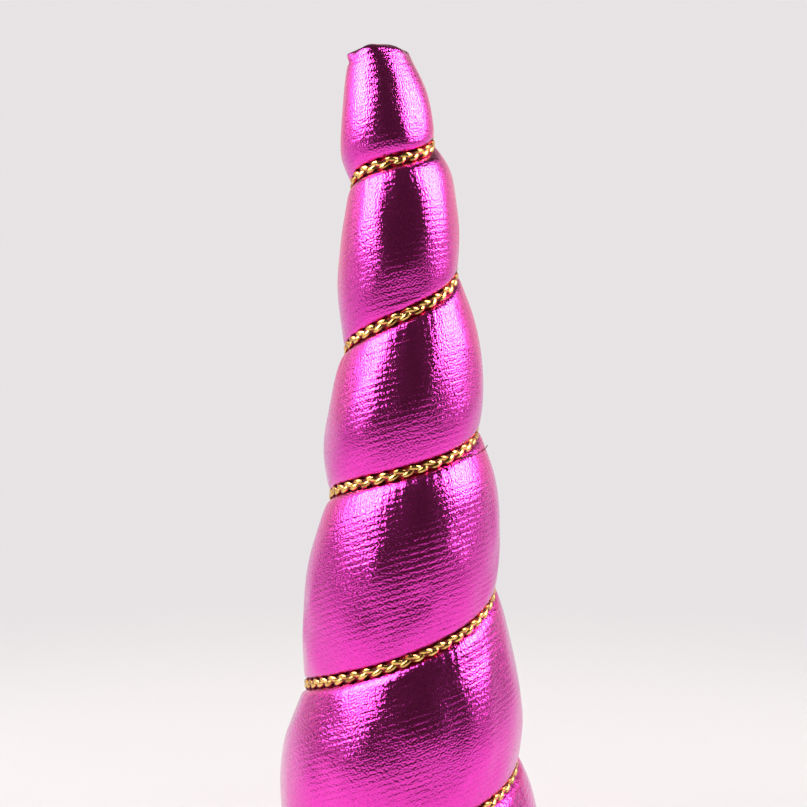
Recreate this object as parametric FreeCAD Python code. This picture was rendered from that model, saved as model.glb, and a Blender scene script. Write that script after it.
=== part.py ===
"""Padded unicorn-horn party hat: a stuffed cone of metallic fabric, wound with a gold cord, on a felt base.

Frame: +Z up along the horn, origin at the centre of the felt's underside, millimetres.
The cord climbs as a right-handed helix, and the fabric bulges between its wraps.
The back seam of the cover is at +Y, and the two eyelets of the felt lie on X.
"""
import FreeCAD, Part
import functools
import math
import os

V = FreeCAD.Vector

# ---- Horn ----
HORN_LENGTH = 123.3        # top of the felt to the tip
BASE_RADIUS = 21.5         # crest of the lobes, carried down to the felt
TIP_RADIUS = 6.1           # crest of the lobes, carried up to the tip
FLARE = 0.3                # how much faster the cone widens at the base than on average
TIP_LEAN = 4.7             # how far the soft tip leans to -X
LEAN_POWER = 6             # how late along the length the lean sets in
SWAY = 0.42                # slight bow of the lower half to -X
SWAY_SHARE = 0.57          # share of the length that the bow takes
TIP_ROUNDING = 2.0         # edge rounding of the blunt tip
TIP_PINCH = 0.32           # share of the radius lost where the fabric narrows to the tip
TIP_PINCH_LENGTH = 13.5
TIP_FLAT_RADIUS = 0.6      # the small flat in the middle of the tip

# ---- Cord and its wraps ----
CORD_DIAMETER = 1.45
CORD_SEAT = 0.26           # clearance between the cord and the floor of its groove, at the foot
CORD_SEAT_TIP = 0.39       # and at the tip, where the groove's sides close in on the cord
WRAP_FALLS = [10.5, 6.0, 12.0, 11.0, 11.0, 9.5, 13.0, 14.5, 10.5, 13.0, 16.0]  # drop of each half turn
CORD_START = 0.16          # turns after the left side where the cord comes out of the cover
CORD_END = 5.25            # turns after the left side where it meets the base, at the back
TOP_WRAP_BELOW_TIP = 2.6   # the winding's first half turn starts this far below the tip
BOTTOM_WRAP_ABOVE_FELT = 1.9
CORD_PATH_STEP = 7.5       # degrees between two points of the cord's path
CORD_BEND_RADIUS = 1.7     # the turn that the cord takes in through its hole
CORD_BEND_STEPS = 6
CORD_HOLE_CLEARANCE = 0.08
CORD_TUCK_DEPTH = 1.6      # straight length of cord inside the horn, after the bend
CORD_TUCK_STEPS = 3
CORD_HOLE_STEPS = 3        # points of the laid cord beside which its hole still opens
TUBE_SIDES = 10

# ---- Lobes of the cover between the wraps ----
LOBE_DEPTH = 2.3           # crest of a lobe above the edge of the groove
LOBE_DEPTH_LOSS = 0.3      # share of that lost towards the tip
LOBE_SQUARENESS = 0.95     # under 1, the lobes are fuller than a parabola
GROOVE_DEPTH = 1.4         # narrow seat of the cord below the edge of the groove
GROOVE_EASE = 0.625        # the groove's half width beyond the cord's radius
GROOVE_SOFTNESS = 0.025    # turns over which the two lobes' edges round into the groove
GROOVE_ONSET = -0.1        # the turn at which the winding starts to pinch the cover
GROOVE_ONSET_TURNS = 0.25  # turns over which the pinch sets in
GROOVE_RELEASE_TURNS = 0.12  # turns past the cord's end over which the pinch eases off

# ---- Cover ----
COVER_THICKNESS = 0.5
BASE_TUCK = 1.5            # how far the cover draws in where it meets the felt
BASE_TUCK_HEIGHT = 7.0
HEM_WIDTH = 8.07           # the cover's hem is turned in under the board this far from the horn's foot
HEM_CORNER = 1.2           # rounding of the cover's foot

# ---- Base ----
FELT_THICKNESS = 2.0
FELT_MARGIN = 2.6          # felt left showing round the horn
EAR_MARGIN = 2.8           # felt left showing round an eyelet's flange, on the felt's two ears
EYELET_GAP = 3.6           # horn's foot to the nearest edge of an eyelet's flange
BOARD_THICKNESS = 1.5
BOARD_CLEARANCE = 0.45     # round the board, inside the cover
STUFFING_GAP = 0.1

# ---- Eyelets ----
EYELET_BORE_RADIUS = 2.0
EYELET_WALL = 0.3
FLANGE_WIDTH = 1.5         # the flange, beyond the barrel
FLANGE_ROUNDING = 0.18
WASHER_WIDTH = 1.6         # the washer, beyond the barrel
WASHER_THICKNESS = 0.3
ROLL_WIDTH = 0.7           # the barrel's end, rolled out over the washer
ROLL_THICKNESS = 0.25
EYELET_CLEARANCE = 0.03    # round the barrel and the washer
RECESS_CLEARANCE = 0.1     # the roll is pressed this far clear of the resting face

# ---- Thread ----
THREAD_DIAMETER = 0.25
SEAM_STITCH_PITCH = 2.6
SEAM_STITCH_WIDTH = 1.1
SEAM_STITCH_CLEARANCE = 0.325  # between a seam stitch and the cord
WHIP_STITCHES = 44
WHIP_STITCH_REACH = 1.3    # from the horn's foot out onto the felt
WHIP_STITCH_HEIGHT = 2.2
WHIP_SLANT = 3.0           # degrees round the horn between a stitch's two ends
TACK_STITCHES = 3
TACK_SPACING = 0.7
TACK_SPREAD = 62.0         # degrees that each tack stitch reaches round the cord, to either side
TACK_FROM_END = 0.03       # turns between the cord's end and the tack stitches
THREAD_SEAT = 0.03         # clearance under a stitch

# ---- Surface grid ----
COLUMNS = 60
ROW_STEP = 1.0
TIP_ROW_DROPS = (0.15, 0.45, 0.9, 1.5, 2.3, 3.2, 4.3)  # first rings below the tip
HEM_ROW_SHARES = (0.93, 0.75, 0.5, 0.25)               # rings of the turned-in hem, 1 at the outline
FOOT_HEIGHTS = (1.0, 3.0, 5.0, 7.0, 9.0)               # where the foot's width is measured, above the felt

TIP_Z = FELT_THICKNESS + HORN_LENGTH
HEM_Z = FELT_THICKNESS                        # underside of the turned-in hem
BOARD_Z = HEM_Z + COVER_THICKNESS
STUFFING_Z = BOARD_Z + BOARD_THICKNESS
CORD_RADIUS = CORD_DIAMETER / 2
GROOVE_WIDTH = CORD_RADIUS + GROOVE_EASE
BARREL_RADIUS = EYELET_BORE_RADIUS + EYELET_WALL
FLANGE_RADIUS = BARREL_RADIUS + FLANGE_WIDTH
WASHER_RADIUS = BARREL_RADIUS + WASHER_WIDTH
ROLL_RADIUS = BARREL_RADIUS + ROLL_WIDTH
EAR_RADIUS = FLANGE_RADIUS + EAR_MARGIN
RECESS_DEPTH = RECESS_CLEARANCE + ROLL_THICKNESS + WASHER_THICKNESS
BACK = 90.0                # degrees round the horn from +X


# ---------------------------------------------------------------- shape of the horn

def clamp(x, low=0.0, high=1.0):
    """x, kept between two limits."""
    return max(low, min(high, x))


def ease(x):
    """Smooth step from 0 to 1."""
    x = clamp(x)
    return x * x * (3 - 2 * x)


def wrap_heights():
    """Height of the winding at each half turn, from the tip down."""
    falls = [0.0]
    for fall in WRAP_FALLS:
        falls.append(falls[-1] + fall)
    top = TIP_Z - TOP_WRAP_BELOW_TIP
    bottom = FELT_THICKNESS + BOTTOM_WRAP_ABOVE_FELT
    at_end = falls[-2] + (falls[-1] - falls[-2]) * (2 * CORD_END - len(WRAP_FALLS) + 1)
    scale = (top - bottom) / at_end
    return [top - scale * f for f in falls]


HEIGHTS = wrap_heights()


def wrap_z(turn):
    """Height of the winding at a turn, smooth through the half-turn heights."""
    x = 2 * turn
    last = len(HEIGHTS) - 1
    if x <= 0:
        return HEIGHTS[0] + (HEIGHTS[0] - HEIGHTS[1]) * -x
    if x >= last:
        return HEIGHTS[last] - (HEIGHTS[last - 1] - HEIGHTS[last]) * (x - last)
    i = int(x)
    f = x - i
    p1, p2 = HEIGHTS[i], HEIGHTS[i + 1]
    p0 = HEIGHTS[i - 1] if i else 2 * p1 - p2
    p3 = HEIGHTS[i + 2] if i + 2 <= last else 2 * p2 - p1
    m1, m2 = (p2 - p0) / 2, (p3 - p1) / 2
    return (p1 * (2 * f**3 - 3 * f**2 + 1) + m1 * (f**3 - 2 * f**2 + f)
            + p2 * (3 * f**2 - 2 * f**3) + m2 * (f**3 - f**2))


@functools.cache
def turn_at(z):
    """The turn at which the winding passes a height."""
    low, high = -1.5, len(WRAP_FALLS) / 2 + 1.5
    for _ in range(50):
        middle = (low + high) / 2
        if wrap_z(middle) > z:
            low = middle
        else:
            high = middle
    return (low + high) / 2


def wrap_angle(turn):
    """Angle in degrees at which the winding is at that turn: left at 0, right at 0.5."""
    return 180.0 - 360.0 * turn


def axis_x(z):
    """The horn's centre line leans at the tip and bows a little lower down."""
    t = clamp((z - FELT_THICKNESS) / HORN_LENGTH)
    return -TIP_LEAN * t**LEAN_POWER - SWAY * math.sin(math.pi * clamp(t / SWAY_SHARE))


def crest_radius(z):
    """Radius of the lobes' crests, before the winding and the tip draw the cover in."""
    t = clamp((z - FELT_THICKNESS) / HORN_LENGTH)
    return BASE_RADIUS - (BASE_RADIUS - TIP_RADIUS) * ((1 + FLARE) * t - FLARE * t * t)


def lobe_depth(z):
    """Height of a lobe's crest above the edge of the groove."""
    t = clamp((z - FELT_THICKNESS) / HORN_LENGTH)
    return LOBE_DEPTH * (1 - LOBE_DEPTH_LOSS * t)


def draw_in(z):
    """How far the cover draws in as it reaches the felt."""
    return BASE_TUCK * clamp(1 - (z - FELT_THICKNESS) / BASE_TUCK_HEIGHT) ** 2


def groove_here(angle, z):
    """Turns to the nearest wrap, millimetres to it along Z, and how strongly it pinches, at a place."""
    turn = turn_at(z)
    nearest = round(turn - (180.0 - angle) / 360.0) + (180.0 - angle) / 360.0
    onset = ease((nearest - GROOVE_ONSET) / GROOVE_ONSET_TURNS)
    release = ease((CORD_END + GROOVE_RELEASE_TURNS - nearest) / GROOVE_RELEASE_TURNS)
    return abs(turn - nearest), abs(z - wrap_z(nearest)), onset * release


def pinch(angle, z):
    """How far the winding pulls the cover in from the crest of its lobes."""
    away, distance, strength = groove_here(angle, z)
    away = math.hypot(away, GROOVE_SOFTNESS)
    lobe = (4 * away * (1 - away)) ** LOBE_SQUARENESS
    seat = GROOVE_DEPTH * math.exp(-(distance / GROOVE_WIDTH) ** 2)
    return (lobe_depth(z) * (1 - lobe) + seat) * strength


def sharpened_pinch(angle, z):
    """The pinch for a pole of a cubic surface, which smooths what its poles say."""
    here = pinch(angle, z)
    along = pinch(angle, z - ROW_STEP) - 2 * here + pinch(angle, z + ROW_STEP)
    step = 360.0 / COLUMNS
    around = pinch(angle - step, z) - 2 * here + pinch(angle + step, z)
    return here - (along + around) / 6


def cover_radius(angle, z, inset=0.0, pull=pinch):
    """Radius of the cover about its leaning centre line, or of a surface that lies inset inside it."""
    radius = crest_radius(z) - pull(angle, z) - draw_in(z) - inset
    below_tip = max(0.0, TIP_Z - inset - z)
    narrowing = 1 - TIP_PINCH * (1 - ease(below_tip / TIP_PINCH_LENGTH))
    rounding = math.sqrt(clamp(1 - (1 - clamp(below_tip / TIP_ROUNDING)) ** 2))
    return max(TIP_FLAT_RADIUS, radius * narrowing * rounding)


def on_cover(angle, z, out=0.0):
    """Point on the cover's outside, or out from it."""
    r = cover_radius(angle, z) + out
    a = math.radians(angle)
    return V(axis_x(z) + r * math.cos(a), r * math.sin(a), z)


# ---------------------------------------------------------------- solids

def spline_tube(rows):
    """Periodic cubic surface over rows of poles, each row once round."""
    around = len(rows[0])
    along = len(rows)
    poles = [[row[i] for row in rows] for i in range(around)]
    u_knots = [float(i) for i in range(around + 1)]
    v_knots = [float(i) for i in range(along - 2)]
    surface = Part.BSplineSurface()
    surface.buildFromPolesMultsKnots(poles, [1] * (around + 1), [4] + [1] * (along - 4) + [4],
                                     u_knots, v_knots, True, False, 3, 3)
    return surface.toShape()


def closed_solid(side):
    """The solid inside a tube surface whose two end rings are flat."""
    rings = [edge for edge in side.Edges if edge.isClosed()]
    shell = Part.Shell([side] + [Part.Face(Part.Wire([ring])) for ring in rings])
    shell.sewShape()
    solid = Part.Solid(shell)
    if solid.Volume < 0:
        solid.reverse()
    return solid


def ring_of_poles(angle_count, place):
    """Poles round one ring. A cubic through poles on a circle lies inside it, which grow makes up for."""
    step = 360.0 / angle_count
    grow = 3 / (2 + math.cos(math.radians(step)))
    return [place(i * step, grow) for i in range(angle_count)]


def body_ring(z, inset):
    """Poles round the horn at a height, on the cover or inset from it."""
    def place(angle, grow):
        r = cover_radius(angle, z, inset, sharpened_pinch) * grow
        a = math.radians(angle)
        return V(axis_x(z) + r * math.cos(a), r * math.sin(a), z)
    return ring_of_poles(COLUMNS, place)


def flat_ring(radius, z, toward=None, share=0.0):
    """A round ring at z, or one part of the way to the horn's own outline there."""
    def place(angle, grow):
        r = radius * grow
        if toward is not None:
            r += share * (cover_radius(angle, z, toward) * grow - r)
        a = math.radians(angle)
        return V(axis_x(z) * (share if toward is not None else 1) + r * math.cos(a), r * math.sin(a), z)
    return ring_of_poles(COLUMNS, place)


def side_heights(top, bottom):
    """Heights of the rings down the side, closer together at the rounded tip."""
    heights = [top - drop for drop in TIP_ROW_DROPS]
    rest = heights[-1] - bottom
    count = max(2, round(rest / ROW_STEP))
    return heights + [heights[-1] - rest * (i + 1) / count for i in range(count)]


def tip_rings(top):
    """The small flat in the middle of the tip."""
    return [flat_ring(TIP_FLAT_RADIUS, top), flat_ring(2 * TIP_FLAT_RADIUS, top)]


def cover_rows():
    """Rings of one sheet: down the outside, in under the board, and back up the inside."""
    inner = COVER_THICKNESS
    hem = hem_radius()
    rows = tip_rings(TIP_Z)
    rows += [body_ring(z, 0.0) for z in side_heights(TIP_Z, HEM_Z + HEM_CORNER)]
    rows += [body_ring(HEM_Z + HEM_CORNER / 3, 0.0)]
    rows += [flat_ring(hem, HEM_Z, 0.0, share) for share in HEM_ROW_SHARES]
    rows += [flat_ring(hem, HEM_Z)]
    rows += [flat_ring(hem - COVER_THICKNESS / 4, HEM_Z + COVER_THICKNESS / 2)]
    rows += [flat_ring(hem, BOARD_Z)]
    rows += [flat_ring(hem, BOARD_Z, inner, share) for share in reversed(HEM_ROW_SHARES)]
    rows += [body_ring(BOARD_Z + HEM_CORNER / 3, inner)]
    rows += [body_ring(z, inner) for z in reversed(side_heights(TIP_Z - inner, BOARD_Z + HEM_CORNER))]
    return rows + list(reversed(tip_rings(TIP_Z - inner)))


def horn_cover(cord_hole):
    """The sewn fabric cone, turned in at the foot, with the hole that the cord's upper end goes in by."""
    side = spline_tube(cover_rows())
    return closed_solid(side).cut(cord_hole)


def stuffing(cord_hole):
    """Fibre filling, which takes the inside of the cover above the board."""
    inset = COVER_THICKNESS + STUFFING_GAP
    top = TIP_Z - inset
    rows = tip_rings(top) + [body_ring(z, inset) for z in side_heights(top, STUFFING_Z)]
    return closed_solid(spline_tube(rows)).cut(cord_hole)


# ---------------------------------------------------------------- cord

def cord_point(turn):
    """Centre of the cord where it lies in the groove."""
    z = wrap_z(turn)
    share = clamp((z - FELT_THICKNESS) / HORN_LENGTH)
    return on_cover(wrap_angle(turn), z, CORD_RADIUS + CORD_SEAT + (CORD_SEAT_TIP - CORD_SEAT) * share**2)


def cord_route():
    """Centre line: in through the cover at the top, once down the horn, to the foot at the back."""
    count = math.ceil((CORD_END - CORD_START) * 360 / CORD_PATH_STEP)
    laid = [cord_point(CORD_START + (CORD_END - CORD_START) * i / count) for i in range(count + 1)]
    start = laid[0]
    along = (start - laid[1]).normalize()
    inward = V(axis_x(start.z) - start.x, -start.y, 0).normalize()
    bend = []
    for i in range(1, CORD_BEND_STEPS + 1):
        turned = math.radians(90) * i / CORD_BEND_STEPS
        bend.append(start + along * (CORD_BEND_RADIUS * math.sin(turned))
                    + inward * (CORD_BEND_RADIUS * (1 - math.cos(turned))))
    step = CORD_TUCK_DEPTH / CORD_TUCK_STEPS
    tail = [bend[-1] + inward * (step * (i + 1)) for i in range(CORD_TUCK_STEPS)]
    return list(reversed(bend + tail)) + laid


def round_tube(route, radius):
    """Solid tube of round section along a smooth row of points."""
    rows = []
    side_way = None
    grow = 3 / (2 + math.cos(2 * math.pi / TUBE_SIDES))
    for i, point in enumerate(route):
        ahead = (route[min(i + 1, len(route) - 1)] - route[max(i - 1, 0)]).normalize()
        if side_way is None:
            side_way = ahead.cross(V(0, 0, 1)).normalize()
        side_way = (side_way - ahead * side_way.dot(ahead)).normalize()
        up_way = ahead.cross(side_way)
        ring = []
        for k in range(TUBE_SIDES):
            a = 2 * math.pi * k / TUBE_SIDES
            ring.append(point + (side_way * math.cos(a) + up_way * math.sin(a)) * (radius * grow))
        rows.append(ring)
    return closed_solid(spline_tube(rows))


# ---------------------------------------------------------------- threads

def bar(start, end, diameter=THREAD_DIAMETER):
    """A short straight stitch."""
    return Part.makeCylinder(diameter / 2, (end - start).Length, start, end - start)


def clear_of_cord(point, clearance):
    """Whether a point on the cover is that far from every wrap of the cord."""
    angle = math.degrees(math.atan2(point.y, point.x - axis_x(point.z)))
    away, distance, strength = groove_here(angle, point.z)
    return distance > CORD_RADIUS + clearance or strength == 0


def seam_stitches():
    """Ladder stitches across the back seam, left out where the cord lies over it."""
    stitches = []
    z = FELT_THICKNESS + BASE_TUCK_HEIGHT
    while z < TIP_Z - TIP_ROUNDING:
        middle = on_cover(BACK, z, THREAD_DIAMETER / 2 + THREAD_SEAT)
        if clear_of_cord(middle, THREAD_DIAMETER + SEAM_STITCH_CLEARANCE):
            half = V(SEAM_STITCH_WIDTH / 2, 0, 0)
            stitches.append(bar(middle - half, middle + half))
        z += SEAM_STITCH_PITCH
    return Part.makeCompound(stitches)


def tack_stitches(turn):
    """Stitches over the cord, one beside the other, each an arc from one side of it to the other."""
    hoops = []
    step = TACK_SPACING / (2 * math.pi * crest_radius(wrap_z(turn)))
    for i in range(TACK_STITCHES):
        here = turn + i * step
        middle = cord_point(here)
        along = (cord_point(here + step / 2) - cord_point(here - step / 2)).normalize()
        out = V(middle.x - axis_x(middle.z), middle.y, 0).normalize()
        across = along.cross(out).normalize()
        out = across.cross(along)
        radius = CORD_RADIUS + THREAD_DIAMETER / 2 + THREAD_SEAT
        spread = math.radians(TACK_SPREAD)
        over = out * (radius * math.cos(spread))
        sideways = across * (radius * math.sin(spread))
        start = middle + over - sideways
        arc = Part.Arc(start, middle + out * radius, middle + over + sideways).toShape()
        start_way = across * math.cos(spread) + out * math.sin(spread)
        section = Part.Wire([Part.makeCircle(THREAD_DIAMETER / 2, start, start_way)])
        hoops.append(Part.Wire([arc]).makePipeShell([section], True, False))
    return Part.makeCompound(hoops)


def whip_stitches():
    """Stitches all round, from the cover down to the felt."""
    stitches = []
    for i in range(WHIP_STITCHES):
        angle = 360.0 * (i + 0.5) / WHIP_STITCHES
        top_z = FELT_THICKNESS + WHIP_STITCH_HEIGHT
        top = on_cover(angle, top_z, THREAD_DIAMETER / 2 + THREAD_SEAT)
        foot = on_cover(angle + WHIP_SLANT, top_z, WHIP_STITCH_REACH)
        foot.z = FELT_THICKNESS + THREAD_DIAMETER / 2 + THREAD_SEAT
        if clear_of_cord(top, THREAD_DIAMETER + THREAD_SEAT) and not near_cord_end(foot):
            stitches.append(bar(top, foot))
    return Part.makeCompound(stitches)


def near_cord_end(point):
    """Whether the cord's lower end leaves no room for a stitch here."""
    end = cord_point(CORD_END)
    return math.hypot(point.x - end.x, point.y - end.y) < CORD_DIAMETER + THREAD_DIAMETER


def hem_drawstring():
    """Gathering thread, drawn round the raw edge of the hem between the felt and the board."""
    radius = hem_radius() - COVER_THICKNESS / 4 - THREAD_DIAMETER / 2 - THREAD_SEAT
    return Part.makeTorus(radius, THREAD_DIAMETER / 2, V(0, 0, HEM_Z + COVER_THICKNESS / 2))


# ---------------------------------------------------------------- base

@functools.cache
def foot_radius():
    """Largest radius of the horn near the felt."""
    return max(cover_radius(a, FELT_THICKNESS + h) for a in range(0, 360, 10) for h in FOOT_HEIGHTS)


def hem_radius():
    """The raw edge of the turned-in hem."""
    return foot_radius() - HEM_WIDTH


def board_radius():
    """The board fits inside the narrowest part of the cover beside it."""
    heights = (BOARD_Z + BOARD_THICKNESS / 2, STUFFING_Z)
    inside = min(cover_radius(a, z, COVER_THICKNESS) for a in range(0, 360, 6) for z in heights)
    return inside - BOARD_CLEARANCE


def base_board():
    """Stiff round board that keeps the horn's foot flat."""
    return Part.makeCylinder(board_radius(), BOARD_THICKNESS, V(axis_x(FELT_THICKNESS), 0, BOARD_Z))


def eyelet_x():
    """How far out the two eyelets lie."""
    return foot_radius() + EYELET_GAP + FLANGE_RADIUS


def rim_point(centre_x, radius, angle):
    """Point on a circle of the felt's outline."""
    return V(centre_x + radius * math.cos(angle), radius * math.sin(angle), 0)


def felt_base():
    """A round patch with two ears, its outline all arcs and tangents, with a pressed seat for each eyelet."""
    big = foot_radius() + FELT_MARGIN
    x = eyelet_x()
    lean = math.acos((big - EAR_RADIUS) / x)
    flat = math.pi - lean
    edges = [
        Part.Arc(rim_point(x, EAR_RADIUS, -lean), V(x + EAR_RADIUS, 0, 0), rim_point(x, EAR_RADIUS, lean)),
        Part.LineSegment(rim_point(x, EAR_RADIUS, lean), rim_point(0, big, lean)),
        Part.Arc(rim_point(0, big, lean), V(0, big, 0), rim_point(0, big, flat)),
        Part.LineSegment(rim_point(0, big, flat), rim_point(-x, EAR_RADIUS, flat)),
        Part.Arc(rim_point(-x, EAR_RADIUS, flat), V(-x - EAR_RADIUS, 0, 0), rim_point(-x, EAR_RADIUS, -flat)),
        Part.LineSegment(rim_point(-x, EAR_RADIUS, -flat), rim_point(0, big, -flat)),
        Part.Arc(rim_point(0, big, -flat), V(0, -big, 0), rim_point(0, big, -lean)),
        Part.LineSegment(rim_point(0, big, -lean), rim_point(x, EAR_RADIUS, -lean)),
    ]
    felt = Part.Face(Part.Wire([edge.toShape() for edge in edges])).extrude(V(0, 0, FELT_THICKNESS))
    for centre in (x, -x):
        hole = Part.makeCylinder(BARREL_RADIUS + EYELET_CLEARANCE, FELT_THICKNESS, V(centre, 0, 0))
        seat = Part.makeCylinder(WASHER_RADIUS + EYELET_CLEARANCE, RECESS_DEPTH, V(centre, 0, 0))
        felt = felt.cut(hole).cut(seat)
    return felt


def eyelet(centre):
    """Flange on top of the felt, barrel through it, and the barrel's end rolled out over the washer."""
    low = RECESS_CLEARANCE
    rolled = low + ROLL_THICKNESS
    top = FELT_THICKNESS + EYELET_WALL
    outline = [
        V(EYELET_BORE_RADIUS, 0, low),
        V(ROLL_RADIUS, 0, low),
        V(ROLL_RADIUS, 0, rolled),
        V(BARREL_RADIUS, 0, rolled),
        V(BARREL_RADIUS, 0, FELT_THICKNESS),
        V(FLANGE_RADIUS, 0, FELT_THICKNESS),
        V(FLANGE_RADIUS, 0, top),
        V(EYELET_BORE_RADIUS, 0, top),
        V(EYELET_BORE_RADIUS, 0, low),
    ]
    solid = Part.Face(Part.makePolygon(outline)).revolve(V(0, 0, 0), V(0, 0, 1), 360)
    rim = [e for e in solid.Edges if e.BoundBox.ZMin > top - 0.01 and e.BoundBox.XMax > FLANGE_RADIUS - 0.01]
    solid = solid.makeFillet(FLANGE_ROUNDING, rim)
    solid.translate(V(centre, 0, 0))
    return solid


def washer(centre):
    """Flat ring under the felt, in its pressed seat."""
    foot = V(centre, 0, RECESS_CLEARANCE + ROLL_THICKNESS)
    ring = Part.makeCylinder(WASHER_RADIUS, WASHER_THICKNESS, foot)
    return ring.cut(Part.makeCylinder(BARREL_RADIUS + EYELET_CLEARANCE, WASHER_THICKNESS, foot))


# ---------------------------------------------------------------- assembly

def report(name, shape):
    """One line on a part's solids and where they lie."""
    box = shape.BoundBox
    print(f"{name:20s} valid {shape.isValid()} solids {len(shape.Solids):3d} volume {shape.Volume:9.2f}"
          f"  x {box.XMin:7.2f} {box.XMax:7.2f}  y {box.YMin:7.2f} {box.YMax:7.2f}"
          f"  z {box.ZMin:7.2f} {box.ZMax:7.2f}")


def main():
    route = cord_route()
    at_hole = route[:CORD_TUCK_STEPS + CORD_BEND_STEPS + CORD_HOLE_STEPS]
    cord_hole = round_tube(at_hole, CORD_RADIUS + CORD_HOLE_CLEARANCE)
    x = eyelet_x()
    parts = {
        "horn_cover": horn_cover(cord_hole),
        "stuffing": stuffing(cord_hole),
        "spiral_cord": round_tube(route, CORD_RADIUS),
        "seam_stitches": seam_stitches(),
        "tip_tack_stitches": tack_stitches(CORD_START + TACK_FROM_END),
        "foot_tack_stitches": tack_stitches(CORD_END - TACK_FROM_END),
        "hem_drawstring": hem_drawstring(),
        "base_board": base_board(),
        "felt_base": felt_base(),
        "base_whip_stitches": whip_stitches(),
        "eyelet_right": eyelet(x),
        "eyelet_left": eyelet(-x),
        "washer_right": washer(x),
        "washer_left": washer(-x),
    }
    os.makedirs("parts", exist_ok=True)
    for name, shape in parts.items():
        shape.exportStep("parts/" + name + ".step")
        report(name, shape)
    print(f"eyelets at x = {x:.3f}, horn's foot radius {foot_radius():.3f}, board radius {board_radius():.3f}")


if __name__ == "__main__":
    main()
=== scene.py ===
"""Padded unicorn-horn party hat: its looks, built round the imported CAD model.

Lengths below are millimetres, turned into Blender's metres where meshes are made.
+Z runs up the horn, the back seam is at +Y, and the camera looks along +Y.
"""
import math

import bmesh
import bpy
import numpy as np
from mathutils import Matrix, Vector, noise


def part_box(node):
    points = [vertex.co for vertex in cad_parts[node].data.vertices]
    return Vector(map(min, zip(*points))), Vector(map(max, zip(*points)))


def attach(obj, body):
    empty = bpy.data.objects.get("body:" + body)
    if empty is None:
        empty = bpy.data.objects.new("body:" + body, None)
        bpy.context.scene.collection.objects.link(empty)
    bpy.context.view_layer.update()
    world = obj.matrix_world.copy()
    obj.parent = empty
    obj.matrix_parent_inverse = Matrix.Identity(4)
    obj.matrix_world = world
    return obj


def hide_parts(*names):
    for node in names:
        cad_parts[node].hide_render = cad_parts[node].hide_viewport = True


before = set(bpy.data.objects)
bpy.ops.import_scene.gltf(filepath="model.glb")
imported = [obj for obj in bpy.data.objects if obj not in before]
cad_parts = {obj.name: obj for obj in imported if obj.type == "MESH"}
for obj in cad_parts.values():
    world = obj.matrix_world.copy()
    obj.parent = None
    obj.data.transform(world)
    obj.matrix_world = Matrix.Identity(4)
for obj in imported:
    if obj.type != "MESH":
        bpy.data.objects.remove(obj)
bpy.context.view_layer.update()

MM = 0.001

# ---- Horn, as the CAD model has it, but for the shape and lean of its tip ----
FOOT_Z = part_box("horn_cover")[0].z / MM
TIP_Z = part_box("horn_cover")[1].z / MM
LENGTH = TIP_Z - FOOT_Z
BASE_RADIUS = 21.5
TIP_RADIUS = 6.1
FLARE = 0.3
TIP_LEAN = 4.55
LEAN_POWER = 6
SWAY = 0.42
SWAY_SHARE = 0.57
TIP_ROUNDING = 0.8
TIP_PINCH = 0.32              # share of the radius lost at the tip
TIP_NECK = 0.8                # the flat end of the tip, before the lobe swells out
TIP_SWELL = 12.0              # length over which it swells
TIP_SWELL_SHARE = 0.93        # share of the lost radius that the swell gives back
TIP_SWELL_REST = 6.0          # length over which the rest comes back
BASE_TUCK = 1.5
BASE_TUCK_HEIGHT = 7.0
HEM_INNER_RADIUS = 12.5

# ---- Cord and its wraps, as the CAD model has them ----
CORD_RADIUS = 0.725
CORD_SEAT = 0.26
CORD_SEAT_TIP = 0.39
WRAP_FALLS = [10.5, 6.0, 12.0, 11.0, 11.0, 9.5, 13.0, 14.5, 10.5, 13.0, 16.0]
CORD_START = 0.16
CORD_END = 5.25
TOP_WRAP_BELOW_TIP = 2.6
BOTTOM_WRAP_ABOVE_FELT = 1.9
CORD_BEND_RADIUS = 1.7

# ---- Folded tip ----
FOLD_REACH = 5.0              # the fold reaches this far down from the tip
EAR_DROP = 0.80               # how much lower the tip's left corner is folded
EAR_START = 0.3               # the ear begins this far left of the centre line
EAR_REACH = 3.4
EAR_ANGLE = 0.8               # radians to each side of the left that its crease and bulge reach
SHOULDER_DROP = 0.35          # and how much lower its right corner is
SHOULDER_START = 1.4
SHOULDER_REACH = 2.6
PLEATS = 7                    # pleats round the gathered end
PLEAT_DEPTH = 0.16
PLEAT_LENGTH = 3.0
PLEAT_FADE_RADIUS = 3.0       # nearer the centre line than this, pleats are shallower
CREASE_DEPTH = 0.22
CREASE_BELOW_TIP = 2.1
CREASE_WIDTH = 0.34
BULGE_HEIGHT = 0.10
BULGE_BELOW_TIP = 1.1
BULGE_WIDTH = 0.7

# ---- Lobes ----
LOBE_DEPTH = 2.3
LOBE_DEPTH_LOSS = 0.3
LOBE_SQUARENESS = 0.95
GROOVE_DEPTH = 1.4
GROOVE_WIDTH_BELOW = 0.80     # the lobe under a wrap leaves it gently
GROOVE_WIDTH_ABOVE = 0.66     # and the lobe over it comes down steeply
GROOVE_SOFTNESS = 0.025       # turns over which the two lobes' edges round into the groove
GROOVE_ONSET = -0.1           # the turn at which the winding starts to pinch the cover
GROOVE_ONSET_TURNS = 0.25     # turns over which the pinch sets in
GROOVE_RELEASE_TURNS = 0.12   # turns past the cord's end over which the pinch eases off

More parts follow.
